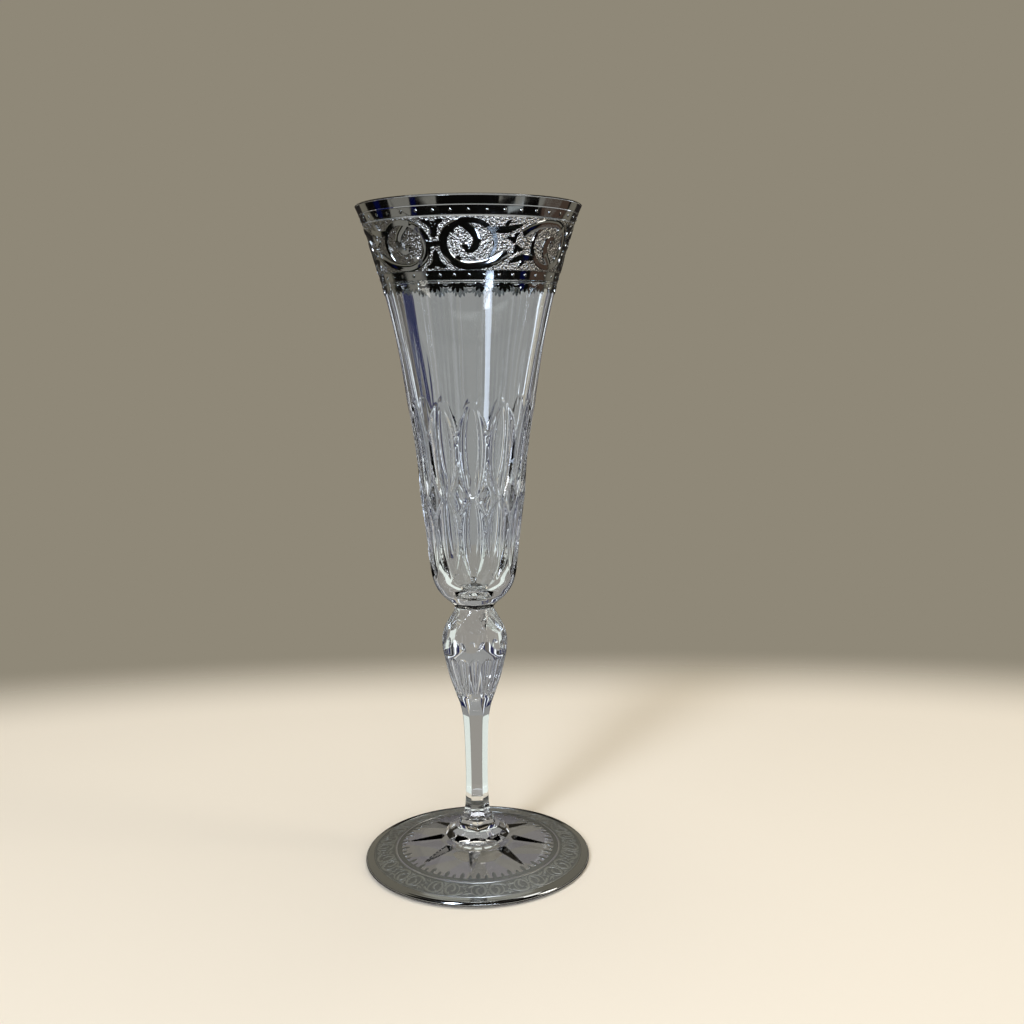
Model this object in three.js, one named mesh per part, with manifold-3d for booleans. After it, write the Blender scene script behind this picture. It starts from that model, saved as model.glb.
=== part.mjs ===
// Cut-crystal champagne flute with platinum bands.
//
// Millimetres, +Z up. The origin is the centre of the foot's flat resting ring, and -Y is the front.
// The glass is six gathers fused end to end (bowl, neck ring, knop, stem, collar, foot), each a solid
// that meets the next on a flat face. The platinum is eight fired bands, each a thin solid skin that
// stands FILM_GAP off the glass it decorates, so that no skin cuts into the facets under it.

import * as THREE from 'three';
import { mergeVertices } from 'three/addons/utils/BufferGeometryUtils.js';
import Module from 'manifold-3d';

const manifold = await Module();
manifold.setup();

// ---- Driving dimensions -----------------------------------------------------------------------

const HEIGHT = 220;
const RIM_RADIUS = 36.6;
const FOOT_RADIUS = 38.8;

const ROUND_SIDES = 48;
const FILM_GAP = 0.05;
const FILM_THICKNESS = 0.2;
const FILM = FILM_GAP + FILM_THICKNESS;

// Heights at which one gather meets the next.
const COLLAR_SEAT = 7;
const STEP_SEAT = 11.9;
const STEP_TOP = 14.9;
const KNOP_SEAT = 55.5;
const NECK_SEAT = 88.2;
const BOWL_SEAT = 91;

// Bowl: wall, and the two rows of pointed-oval cuts stacked tip to tip.
const RIM_WALL = 1.1;
const BOWL_FLOOR = 94.5;
const CUT_COLUMNS = 12;
const LEAST_CUT_WALL = 0.5;
const CUT_ROWS = [
  { bottom: 101, top: 127.5, depth: 0.9 },
  { bottom: 127.5, top: 157, depth: 1.2 },
];

// Knop: six facets above its widest ring, and a ring of narrow upright flutes below it.
const KNOP_WAIST = 76;
const KNOP_FACETS = 6;
const KNOP_FACET_TURN = THREE.MathUtils.degToRad(-7.5);
const KNOP_FLUTES = 16;
const KNOP_FLUTE_DEPTH = 0.07;
const KNOP_FLUTE_BOTTOM = 59;
const KNOP_FLUTE_TOP = 73;
const HEXAGON_BLEND_TOP = 60;

// Stem: a hexagon with a flat to the front, on a hexagonal step with a corner to the front.
const STEM_SIDES = 6;
const COLLAR_SIDES = 24;
const STEM_CORNER = THREE.MathUtils.degToRad(30);

// Foot: a shallow cone, hollow below, on a flat ring, with eight radial wedge cuts.
const FOOT_EDGE_HEIGHT = 2;
const FOOT_EDGE_WIDEST = 1;
const FOOT_EDGE_ROUNDING = 0.1;
const FOOT_HOLLOW_RADIUS = 32;
const FOOT_HOLLOW_HEIGHT = 3.6;
const FOOT_FLAT_RADIUS = 38;
const FOOT_CONE_INNER = 11.6;
const FOOT_CUTS = 8;
const FOOT_CUT_TURN = THREE.MathUtils.degToRad(-5.5);
const FOOT_CUT_SPREAD = 1.5;
const FOOT_CUT_INNER = 11.8;
const FOOT_CUT_TIP = 22.2;
const FOOT_CUT_DEPTH = 1.2;

// Platinum on the bowl, from the lip down, and on the foot, from the edge in.
const LIP_BAND = { bottom: 217.1, top: 219.4 };
const UPPER_RAIL = { bottom: 214.2, top: 216.7 };
const FRIEZE = { bottom: 198.7, top: 213.6 };
const LOWER_RAIL = { bottom: 195.7, top: 198.4 };
const FRINGE = { bottom: 191.2, root: 194.5, top: 195.4 };
const RAIL_BEADS = 40;
const BEAD_RELIEF = 0.45;
const VOLUTE_PAIRS = 4;
const VOLUTE_PAIR_GAP = THREE.MathUtils.degToRad(38);
const VOLUTE_TURNS = 1.45;
const VOLUTE_START = -0.3 * Math.PI;
const VOLUTE_REACH = 6.4;
const VOLUTE_EYE = 2.1;
const VOLUTE_CLOSING = 1.4;
const VOLUTE_STEPS = 18;
const VOLUTE_STROKE = 0.9;
const STROKE_STAND_OFF = FILM_GAP + 0.6 * VOLUTE_STROKE;
const PALMETTES = 24;
const PALMETTE_THICKNESS = 0.25;
const PALMETTE_GAP = FILM_GAP + 0.02;
const FRINGE_STRING_THICKNESS = 0.3;
const FOOT_BAND_INNER = 36;
const FOOT_FRIEZE = { inner: 28.4, outer: 35.5 };
const FOOT_FRINGE = { tip: 22.8, root: 25.2, outer: 27.4 };
const FOOT_LEAVES = 24;
const FOOT_STAR_OVERLAP = 0.3;

// ---- Finishes ---------------------------------------------------------------------------------

function crystal() {
  return new THREE.MeshStandardMaterial({ color: 0xdfe5e4, roughness: 0.03, metalness: 0 });
}

function platinum(roughness) {
  return new THREE.MeshStandardMaterial({ color: 0x8f8a84, roughness, metalness: 1 });
}

// ---- Helpers ----------------------------------------------------------------------------------

function at(radius, height) {
  return new THREE.Vector2(radius, height);
}

// Radius as a function of height, in straight steps between points that run upwards.
function steppedOutline(points) {
  return (height) => {
    const upper = points.findIndex((point, index) => index > 0 && point.y >= height);
    if (upper < 0) return points.at(-1).x;
    const [low, high] = [points[upper - 1], points[upper]];
    const share = THREE.MathUtils.clamp((height - low.y) / (high.y - low.y), 0, 1);
    return THREE.MathUtils.lerp(low.x, high.x, share);
  };
}

// Radius as a function of height, along a smooth curve through points that run upwards.
function smoothOutline(points) {
  return steppedOutline(new THREE.SplineCurve(points).getPoints(400));
}

// A body turned about Z. shape(radius, angle, height) may cut the round section into facets;
// angle is measured from the front, towards +X.
function turned(outline, sides = ROUND_SIDES, shape = null) {
  const geometry = new THREE.LatheGeometry(outline, sides);
  const position = geometry.getAttribute('position');
  for (let index = 0; shape && index < position.count; index += 1) {
    const side = Math.floor(index / outline.length) % sides;
    const angle = (side / sides) * 2 * Math.PI;
    const { x: radius, y: height } = outline[index % outline.length];
    const cut = shape(radius, angle, height);
    position.setXYZ(index, cut * Math.sin(angle), height, cut * Math.cos(angle));
  }
  return geometry.rotateX(Math.PI / 2);
}

// The angle from the middle of the nearest of count equal sectors, one of them centred on turn.
function fromSectorMiddle(angle, count, turn = 0) {
  const sector = (2 * Math.PI) / count;
  return angle - turn - Math.round((angle - turn) / sector) * sector;
}

// The radius of a polygon's side, as a share of its corner radius.
function polygonShare(angle, count, turn) {
  return Math.cos(Math.PI / count) / Math.cos(fromSectorMiddle(angle, count, turn));
}

function toSolid(geometry) {
  const plain = geometry.clone();
  plain.deleteAttribute('normal');
  plain.deleteAttribute('uv');
  const merged = mergeVertices(plain, 1e-4);
  return new manifold.Manifold(new manifold.Mesh({
    numProp: 3,
    vertProperties: new Float32Array(merged.getAttribute('position').array),
    triVerts: new Uint32Array(merged.index.array),
  }));
}

function toGeometry(solid) {
  const mesh = solid.getMesh();
  const geometry = new THREE.BufferGeometry();
  geometry.setAttribute('position', new THREE.BufferAttribute(mesh.vertProperties, 3));
  geometry.setIndex(new THREE.BufferAttribute(mesh.triVerts, 1));
  geometry.computeVertexNormals();
  return geometry;
}

function join(base, additions) {
  return toGeometry(additions.reduce((solid, piece) => solid.add(toSolid(piece)), toSolid(base)));
}

function carve(base, cutters) {
  return toGeometry(cutters.reduce((solid, piece) => solid.subtract(toSolid(piece)), toSolid(base)));
}

function piece(name, geometry, material) {
  const mesh = new THREE.Mesh(geometry, material);
  mesh.name = name;
  return mesh;
}

// ---- Glass outlines ---------------------------------------------------------------------------

const bowlRadius = smoothOutline([
  at(8.1, BOWL_SEAT), at(10.3, 92.9), at(12.8, 96.3), at(14.3, 101.5), at(16.1, 115), at(18.5, 138.6),
  at(21.1, 158.3), at(24.1, 177.7), at(28.2, 195.5), at(RIM_RADIUS - FILM - 3.1, 212.4),
  at(RIM_RADIUS - FILM, HEIGHT),
]);

// The bowl's rings. The upper ones fall between the bands and at the frieze's middle, so that each
// band's inner face is parallel to the straight step of glass behind it.
const BOWL_RINGS = [BOWL_SEAT, 92.3, 94.5, 97.5, 101, 107, 114.3, 121.5, 127.5, 133, 142.3, 151.5,
  157, 168, 180, 190.5, (LOWER_RAIL.top + FRIEZE.bottom) / 2, (FRIEZE.bottom + FRIEZE.top) / 2,
  (FRIEZE.top + UPPER_RAIL.bottom) / 2, (UPPER_RAIL.top + LIP_BAND.bottom) / 2, LIP_BAND.top];
const bowlFace = steppedOutline(BOWL_RINGS.map((height) => at(bowlRadius(height), height)));

const hollowRadius = smoothOutline([
  at(0, BOWL_FLOOR), at(5.5, 95.2), at(9.2, 99.5), at(11.6, 107), at(14.3, 127.5), at(18.9, 157),
  at(22.7, 177.7), at(26.9, 195.5), at(RIM_RADIUS - FILM - RIM_WALL, HEIGHT),
]);

const knopRadius = smoothOutline([
  at(5, KNOP_SEAT - 1.1), at(6.3, 57.9), at(8.8, 65), at(10.4, 72), at(11, 77.3), at(10.1, 82.1),
  at(7.9, 85.9), at(6.7, NECK_SEAT),
]);

function footTop(radius) {
  const share = (FOOT_FLAT_RADIUS - radius) / (FOOT_FLAT_RADIUS - FOOT_CONE_INNER);
  return FOOT_EDGE_HEIGHT + share * (COLLAR_SEAT - FOOT_EDGE_HEIGHT);
}

function footHollow(radius) {
  return FOOT_HOLLOW_HEIGHT * (1 - (radius / FOOT_HOLLOW_RADIUS) ** 2);
}

// ---- Glass pieces -----------------------------------------------------------------------------

// Each cut is a pointed oval: widest half way up its row, where it reaches the ridge between
// two columns, and closing to a point at both ends.
function cutBowlSection(radius, angle, height) {
  const row = CUT_ROWS.find(({ bottom, top }) => height > bottom && height < top);
  if (!row || radius < hollowRadius(height) + LEAST_CUT_WALL) return radius;
  const halfWidth = Math.sin(Math.PI * (height - row.bottom) / (row.top - row.bottom)) ** 0.7;
  const across = Math.abs(fromSectorMiddle(angle, CUT_COLUMNS)) * CUT_COLUMNS / Math.PI;
  return radius - row.depth * halfWidth * Math.max(0, 1 - (across / halfWidth) ** 2);
}

function buildBowl() {
  const outer = BOWL_RINGS.map((height) => at(bowlFace(height), height));
  const rimMiddle = RIM_RADIUS - FILM - RIM_WALL / 2;
  const inner = [LIP_BAND.top, 207, 193, 175, 157, 140, 123, 107, 99, 95.8]
    .map((height) => at(hollowRadius(height), height));
  const outline = [at(0, BOWL_SEAT), ...outer, at(rimMiddle, HEIGHT), ...inner, at(0, BOWL_FLOOR)];
  return turned(outline, ROUND_SIDES, cutBowlSection);
}

function buildNeckRing() {
  return turned([
    at(0, NECK_SEAT), at(6.7, NECK_SEAT), at(6.5, 88.9), at(6.9, 89.6), at(7.9, 90.3),
    at(8.1, BOWL_SEAT), at(0, BOWL_SEAT),
  ]);
}

// Below the waist the knop is fluted and turns into the stem's hexagon; above it the six facets
// deepen towards the neck, so that each facet's lower edge is an arch.
function cutKnopSection(radius, angle, height) {
  if (height > KNOP_WAIST) {
    const climb = (height - KNOP_WAIST) / (NECK_SEAT - KNOP_WAIST);
    const facet = polygonShare(angle, KNOP_FACETS, KNOP_FACET_TURN);
    const apothem = THREE.MathUtils.lerp(1, Math.cos(Math.PI / KNOP_FACETS), Math.sqrt(climb));
    const flat = facet * apothem / Math.cos(Math.PI / KNOP_FACETS);
    return radius * Math.min(1, flat);
  }
  const blend = (HEXAGON_BLEND_TOP - height) / (HEXAGON_BLEND_TOP - KNOP_SEAT);
  const hexShare = THREE.MathUtils.clamp(blend, 0, 1);
  const hexagon = THREE.MathUtils.lerp(1, polygonShare(angle, STEM_SIDES, 0), hexShare);
  if (height <= KNOP_FLUTE_BOTTOM || height >= KNOP_FLUTE_TOP) return radius * hexagon;
  const across = Math.abs(fromSectorMiddle(angle, KNOP_FLUTES)) * KNOP_FLUTES / Math.PI;
  return radius * hexagon * (1 - KNOP_FLUTE_DEPTH * (1 - across));
}

function buildKnop() {
  const heights = [KNOP_SEAT, 57.2, 59, 61, 65, 69, 71.5, 73, 75, 77.3, 79.5, 82, 84.5, 86.5, NECK_SEAT];
  const outer = heights.map((height) => at(knopRadius(height), height));
  return turned([at(0, KNOP_SEAT), ...outer, at(0, NECK_SEAT)], ROUND_SIDES, cutKnopSection);
}

// Twelve sides carry both hexagons: the shaft's, with a flat to the front, and the step's, with a
// corner to the front.
function cutStemSection(radius, angle, height) {
  return radius * polygonShare(angle, STEM_SIDES, height > STEP_TOP ? 0 : STEM_CORNER);
}

function buildStem() {
  const shaft = new THREE.SplineCurve([
    at(5.3, 15.2), at(4.6, 16.6), at(4, 20.2), at(3.72, 31), at(4.1, 45.5), at(4.6, 51.5),
    at(knopRadius(KNOP_SEAT), KNOP_SEAT),
  ]).getPoints(14);
  const step = [at(7.3, STEP_SEAT), at(7.1, 12.8), at(6.3, 13.4), at(6, STEP_TOP)];
  return turned([at(0, STEP_SEAT), ...step, ...shaft, at(0, KNOP_SEAT)], 2 * STEM_SIDES, cutStemSection);
}

function buildCollar() {
  const cushion = new THREE.SplineCurve([
    at(9.2, COLLAR_SEAT), at(11.1, 8.8), at(10.1, 10.6), at(7.6, STEP_SEAT),
  ]).getPoints(6);
  return turned([at(0, COLLAR_SEAT), ...cushion, at(0, STEP_SEAT)], COLLAR_SIDES);
}

// A four-sided wedge lying on the foot's cone, its point outwards.
function footCutter(index) {
  const length = FOOT_CUT_TIP - FOOT_CUT_INNER;
  const wedge = new THREE.ConeGeometry(FOOT_CUT_DEPTH, length, 4);
  wedge.scale(FOOT_CUT_SPREAD, 1, 1).rotateZ(-Math.PI / 2).rotateX(Math.PI / 2);
  wedge.translate(FOOT_CUT_INNER + length / 2, 0, 0);
  const slope = Math.atan2(COLLAR_SEAT - FOOT_EDGE_HEIGHT, FOOT_FLAT_RADIUS - FOOT_CONE_INNER);
  wedge.translate(-FOOT_CUT_INNER, 0, 0).rotateY(slope);
  wedge.translate(FOOT_CUT_INNER, 0, footTop(FOOT_CUT_INNER));
  return wedge.rotateZ((index / FOOT_CUTS) * 2 * Math.PI - Math.PI / 2 + FOOT_CUT_TURN);
}

function buildFoot() {
  const hollow = [0, 10, 18, 25, FOOT_HOLLOW_RADIUS].map((radius) => at(radius, footHollow(radius)));
  const edge = [at(FOOT_FLAT_RADIUS, 0),
    at(FOOT_RADIUS - FILM - FOOT_EDGE_ROUNDING, FOOT_EDGE_WIDEST / 2),
    at(FOOT_RADIUS - FILM, FOOT_EDGE_WIDEST), at(FOOT_FLAT_RADIUS, FOOT_EDGE_HEIGHT)];
  const cone = [30, 20, FOOT_CONE_INNER].map((radius) => at(radius, footTop(radius)));
  const body = turned([...hollow, ...edge, ...cone, at(0, COLLAR_SEAT)]);
  return carve(body, Array.from({ length: FOOT_CUTS }, (_, index) => footCutter(index)));
}

// ---- Platinum pieces --------------------------------------------------------------------------

// A plain skin round the bowl between two heights, thickness outwards from the glass.
function bowlSkin({ bottom, top }, sides = ROUND_SIDES, thickness = FILM_THICKNESS, shape = null) {
  const middle = (bottom + top) / 2;
  const inside = [top, middle, bottom].map((height) => at(bowlFace(height) + FILM_GAP, height));
  const outside = [bottom, middle, top]
    .map((height) => at(bowlFace(height) + FILM_GAP + thickness, height));
  return turned([...outside, ...inside, outside[0]], sides, shape);
}

// A skin whose middle line swells out at every second side, which makes a string of beads.
function buildBeadedRail(rail) {
  const middle = (rail.bottom + rail.top) / 2;
  const skin = bowlFace(middle) + FILM;
  return bowlSkin(rail, 2 * RAIL_BEADS, FILM_THICKNESS, (radius, angle, height) => {
    const bead = (1 + Math.cos(angle * RAIL_BEADS)) / 2;
    const onMiddle = height === middle && Math.abs(radius - skin) < FILM_GAP / 2;
    return onMiddle ? radius + BEAD_RELIEF * bead : radius;
  });
}

// A point on the frieze, from its place round the bowl and its height.
function onBowl(angle, height, standOff) {
  const radius = bowlFace(height) + standOff;
  return new THREE.Vector3(radius * Math.sin(angle), -radius * Math.cos(angle), height);
}

// One volute: an open ring as tall as the frieze that curls in to a small eye. The two of a pair
// are mirror images, left and right, and every second pair is upside down.
function volute(index) {
  const pair = Math.floor(index / 2);
  const [hand, upright] = [index % 2 === 0 ? 1 : -1, pair % 2 === 0 ? 1 : -1];
  const pairAngle = (pair / VOLUTE_PAIRS) * 2 * Math.PI;
  const middleAngle = hand > 0 ? pairAngle : pairAngle - VOLUTE_PAIR_GAP;
  const middle = (FRIEZE.bottom + FRIEZE.top) / 2;
  const points = Array.from({ length: VOLUTE_STEPS + 1 }, (_, step) => {
    const share = step / VOLUTE_STEPS;
    const sweep = VOLUTE_START + share * VOLUTE_TURNS * 2 * Math.PI;
    const reach = THREE.MathUtils.lerp(VOLUTE_REACH, VOLUTE_EYE, share ** VOLUTE_CLOSING);
    const height = middle + upright * reach * Math.sin(sweep);
    const angle = middleAngle + hand * reach * Math.cos(sweep) / bowlFace(middle);
    return onBowl(angle, height, STROKE_STAND_OFF);
  });
  const half = VOLUTE_STROKE / 2;
  const stroke = new THREE.Shape([at(half, 0), at(0, half), at(-half, 0), at(0, -half)]);
  return new THREE.ExtrudeGeometry(stroke, {
    extrudePath: new THREE.CatmullRomCurve3(points), steps: VOLUTE_STEPS, bevelEnabled: false,
  });
}

function buildScrollFrieze() {
  const volutes = Array.from({ length: 2 * VOLUTE_PAIRS }, (_, index) => volute(index));
  return join(bowlSkin(FRIEZE), volutes);
}

// A hanging palmette: a middle leaf and two shorter side leaves, on a plate that lies on the bowl.
function palmette(index) {
  const leaf = new THREE.Shape([at(-1.5, 0.4), at(-1.6, -1.1), at(-0.6, -0.8), at(0, -3.2),
    at(0.6, -0.8), at(1.6, -1.1), at(1.5, 0.4)]);
  const slope = Math.atan2(bowlFace(FRINGE.root) - bowlFace(FRINGE.bottom),
    FRINGE.root - FRINGE.bottom);
  const plate = new THREE.ExtrudeGeometry(leaf, { depth: PALMETTE_THICKNESS, bevelEnabled: false });
  plate.rotateX(Math.PI / 2 + slope);
  plate.translate(0, -bowlFace(FRINGE.root) - PALMETTE_GAP, FRINGE.root);
  return plate.rotateZ(((index + 0.5) / PALMETTES) * 2 * Math.PI);
}

function buildFringe() {
  const line = { bottom: FRINGE.root, top: FRINGE.top };
  const string = bowlSkin(line, ROUND_SIDES, FRINGE_STRING_THICKNESS);
  return join(string, Array.from({ length: PALMETTES }, (_, index) => palmette(index)));
}

// A skin on the foot's cone between two radii.
function footSkin(outer, inner) {
  const radii = [outer, (outer + inner) / 2, inner];
  const below = radii.map((radius) => at(radius, footTop(radius) + FILM_GAP)).reverse();
  const above = radii.map((radius) => at(radius, footTop(radius) + FILM));
  return turned([...below, ...above, below[0]]);
}

function buildFootEdgeBand() {
  const under = [at(FOOT_BAND_INNER, footTop(FOOT_BAND_INNER) + FILM_GAP),
    at(FOOT_FLAT_RADIUS + FILM_GAP, FOOT_EDGE_HEIGHT + FILM_GAP),
    at(FOOT_RADIUS - FILM_THICKNESS, FOOT_EDGE_WIDEST)];
  const over = [at(FOOT_RADIUS, FOOT_EDGE_WIDEST),
    at(FOOT_FLAT_RADIUS + FILM_THICKNESS, FOOT_EDGE_HEIGHT + FILM),
    at(FOOT_BAND_INNER, footTop(FOOT_BAND_INNER) + FILM)];
  return turned([...under, ...over, under[0]]);
}

// A ring whose inner edge is cut to a star, which leaves a fringe of leaves pointing inwards.
function buildFootFringe() {
  const star = new THREE.Shape(Array.from({ length: 2 * FOOT_LEAVES }, (_, corner) => {
    const reach = corner % 2 === 0 ? FOOT_FRINGE.tip : FOOT_FRINGE.root;
    const angle = corner * Math.PI / FOOT_LEAVES;
    return at(reach * Math.cos(angle), reach * Math.sin(angle));
  }));
  const opening = new THREE.ExtrudeGeometry(star, { depth: 2 * COLLAR_SEAT, bevelEnabled: false });
  return carve(footSkin(FOOT_FRINGE.outer, FOOT_FRINGE.tip - FOOT_STAR_OVERLAP), [opening]);
}

// ---- The flute --------------------------------------------------------------------------------

const glass = new THREE.Group();
glass.add(
  piece('bowl', buildBowl(), crystal()),
  piece('neck_ring', buildNeckRing(), crystal()),
  piece('knop', buildKnop(), crystal()),
  piece('stem', buildStem(), crystal()),
  piece('collar', buildCollar(), crystal()),
  piece('foot', buildFoot(), crystal()),
);

const bands = new THREE.Group();
bands.add(
  piece('lip_band', bowlSkin(LIP_BAND), platinum(0.08)),
  piece('upper_beaded_rail', buildBeadedRail(UPPER_RAIL), platinum(0.12)),
  piece('scroll_frieze', buildScrollFrieze(), platinum(0.3)),
  piece('lower_beaded_rail', buildBeadedRail(LOWER_RAIL), platinum(0.12)),
  piece('palmette_fringe', buildFringe(), platinum(0.2)),
  piece('foot_edge_band', buildFootEdgeBand(), platinum(0.1)),
  piece('foot_scroll_frieze', footSkin(FOOT_FRIEZE.outer, FOOT_FRIEZE.inner), platinum(0.35)),
  piece('foot_leaf_fringe', buildFootFringe(), platinum(0.3)),
);

const flute = new THREE.Group();
flute.add(glass, bands);

export default flute;
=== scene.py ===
"""A cut-crystal champagne flute with platinum bands, dressed for a soft studio.

The flute is six gathers of lead crystal fused end to end, and eight bands of platinum fired onto
them. Every size is in millimetres until a mesh is written, in the frame of the CAD model: +Z up, the
front towards -Y, the origin under the middle of the foot.
"""

from __future__ import annotations

import logging
import math
from dataclasses import dataclass, field
from enum import Enum
from functools import cached_property
from typing import Callable, Protocol

import bpy
import numpy as np
from mathutils import Matrix, Vector

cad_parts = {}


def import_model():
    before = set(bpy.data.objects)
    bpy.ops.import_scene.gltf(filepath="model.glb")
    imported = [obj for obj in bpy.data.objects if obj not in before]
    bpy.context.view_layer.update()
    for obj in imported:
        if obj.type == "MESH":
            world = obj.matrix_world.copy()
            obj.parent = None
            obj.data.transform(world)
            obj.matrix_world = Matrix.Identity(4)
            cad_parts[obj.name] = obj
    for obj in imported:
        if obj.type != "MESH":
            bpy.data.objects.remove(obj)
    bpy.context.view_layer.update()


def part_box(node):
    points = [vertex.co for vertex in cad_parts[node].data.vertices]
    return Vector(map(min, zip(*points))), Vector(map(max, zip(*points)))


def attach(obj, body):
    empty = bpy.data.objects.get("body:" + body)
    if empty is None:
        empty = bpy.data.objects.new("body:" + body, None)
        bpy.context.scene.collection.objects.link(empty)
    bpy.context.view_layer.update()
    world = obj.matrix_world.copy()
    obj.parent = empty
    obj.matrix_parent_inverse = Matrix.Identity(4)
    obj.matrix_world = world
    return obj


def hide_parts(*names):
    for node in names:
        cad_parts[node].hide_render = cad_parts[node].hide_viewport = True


Array = np.ndarray
Material = bpy.types.Material
Piece = bpy.types.Object
Socket = bpy.types.NodeSocket
Inputs = dict[str | int, object]
Pair = tuple[float, float]
Triple = tuple[float, float, float]
SectionShape = Callable[[Array, Array, Array], Array]

LOG = logging.getLogger("flute")
MM = 0.001
SIDES = 336  # a multiple of 6, 12, 16 and 24, so that every ridge and corner falls on a column
OUTLINE_STEPS = 1200
CREASE = math.radians(24)  # edges sharper than this stay crisp
CAD_FILM = 0.25  # how far the CAD model's platinum stands off its glass
BODY = "root"


# ---- Small helpers ----


def srgb(code: str) -> tuple[float, float, float, float]:
    """Turns an sRGB hex colour into the linear colour that a shader socket takes.

    Args:
        code: a colour such as "#A0B1C2".

    Returns:
        Linear red, green and blue, and an alpha of 1.
    """
    channels = [int(code[place : place + 2], 16) / 255 for place in (1, 3, 5)]
    linear = [c / 12.92 if c <= 0.04045 else ((c + 0.055) / 1.055) ** 2.4 for c in channels]
    return (linear[0], linear[1], linear[2], 1.0)


def smooth_curve(points: list[Pair], steps: int) -> Array:
    """Runs a smooth curve through points, the same curve that the CAD model's outlines follow.

    Args:
        points: the points, in order.
        steps: how many steps to divide the curve into.

    Returns:
        steps + 1 points, one to a row.
    """
    knots = np.array(points, dtype=float)
    last = len(knots) - 1
    place = np.linspace(0, last, steps + 1)
    index = np.minimum(place.astype(int), last - 1)
    share = (place - index)[:, None]
    before, start = knots[np.maximum(index - 1, 0)], knots[index]
    end, after = knots[index + 1], knots[np.minimum(index + 2, last)]
    leave, arrive = (end - before) / 2, (after - start) / 2
    cubic = (2 * start - 2 * end + leave + arrive) * share**3
    square = (-3 * start + 3 * end - 2 * leave - arrive) * share**2
    return cubic + square + leave * share + start


def full_turn(count: int) -> Array:
    """Evenly spaced angles all the way round."""
    return np.linspace(0, 2 * math.pi, count, endpoint=False)


def turned_points(radius: Array, angle: Array, height: Array) -> Array:
    """Points in space from a distance to the axis, an angle from the front and a height."""
    return np.stack([radius * np.sin(angle), -radius * np.cos(angle), height], axis=-1)


def sector_offset(angle: Array, count: int, turn: float = 0.0) -> Array:
    """The angle from the middle of the nearest of count equal sectors, one centred on turn."""
    sector = 2 * math.pi / count
    return angle - turn - np.round((angle - turn) / sector) * sector


@dataclass
class Outline:
    """A radius that changes smoothly with height, through points that run upwards."""

    points: list[Pair]
    curve: Array = field(init=False)

    def __post_init__(self) -> None:
        """Samples the curve once."""
        self.curve = smooth_curve(self.points, OUTLINE_STEPS)

    def radius(self, height: float | Array) -> Array:
        """The radius at a height."""
        return np.interp(height, self.curve[:, 1], self.curve[:, 0])

    def slope(self, height: float) -> float:
        """The wall's lean from upright at a height, in radians, positive where it widens."""
        step = 0.5
        rise = float(self.radius(height + step) - self.radius(height - step))
        return math.atan2(rise, 2 * step)


# ---- Meshes ----


class Slot(Enum):
    """The material slots of a glass piece. The fused faces have no surface left."""

    CLEAR = 0
    FUSED = 1
    # the foot's wedge cuts, whose dark glass is painted shade
    PAINTED_CUT_SHADE = 2


class Draft:
    """Vertices and faces gathered for one mesh, in millimetres."""

    def __init__(self) -> None:
        """Starts with nothing."""
        self.points: list[Array] = []
        self.faces: list[list[int]] = []
        self.slots: list[int] = []
        self.count = 0

    def grid(self, points: Array, wrap_rows: bool = False, wrap_columns: bool = True) -> int:
        """Adds a sheet of quads.

        Args:
            points: rows of columns of points.
            wrap_rows: joins the last row to the first.
            wrap_columns: joins the last column to the first.

        Returns:
            The number of the sheet's first vertex.
        """
        rows, columns = points.shape[:2]
        start = self.count
        self.points.append(points.reshape(-1, 3))
        self.count += rows * columns
        row, column = np.meshgrid(
            np.arange(rows if wrap_rows else rows - 1),
            np.arange(columns if wrap_columns else columns - 1),
            indexing="ij",
        )
        over, beside = (row + 1) % rows, (column + 1) % columns
        corners = [(row, column), (row, beside), (over, beside), (over, column)]
        quads = np.stack([start + r * columns + c for r, c in corners], axis=-1).reshape(-1, 4)
        self.faces.extend(quads.tolist())
        self.slots.extend([Slot.CLEAR.value] * len(quads))
        return start

    def face(self, corners: range, slot: Slot = Slot.CLEAR) -> None:
        """Adds one face on vertices that are already there."""
        self.faces.append(list(corners))
        self.slots.append(slot.value)

    def closed(self, points: Array, bottom: Slot = Slot.CLEAR, top: Slot = Slot.CLEAR) -> None:
        """Adds a tube of quads with a face across its first row and one across its last."""
        columns = points.shape[1]
        start = self.grid(points)
        self.face(range(start, start + columns)[::-1], bottom)
        self.face(range(self.count - columns, self.count), top)

    def build(self, name: str, *materials: Material) -> Piece:
        """Writes the mesh as an object in metres, smooth except at its creases."""
        mesh = bpy.data.meshes.new(name)
        mesh.from_pydata((np.concatenate(self.points) * MM).tolist(), [], self.faces)
        mesh.polygons.foreach_set("material_index", self.slots)
        mesh.polygons.foreach_set("use_smooth", [True] * len(self.faces))
        for material in materials:
            mesh.materials.append(material)
        mesh.update()
        mesh.set_sharp_from_angle(angle=CREASE)
        piece = bpy.data.objects.new(name, mesh)
        bpy.context.scene.collection.objects.link(piece)
        return piece


def ring_points(radii: float | Array, heights: float | Array, shape: SectionShape | None = None) -> Array:
    """Turns an outline about the axis into rows of points.

    Args:
        radii: the outline's radius at each row.
        heights: its height at each row.
        shape: takes radius, angle and height, and returns the radius after cutting.

    Returns:
        One row of SIDES points for each point of the outline.
    """
    angle = full_turn(SIDES)[None, :]
    radius = np.repeat(np.atleast_1d(radii)[:, None], SIDES, axis=1)
    height = np.repeat(np.atleast_1d(heights)[:, None], SIDES, axis=1)
    if shape is not None:
        radius = shape(radius, angle, height)
    return turned_points(radius, angle, height)


# ---- Finishes ----


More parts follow.
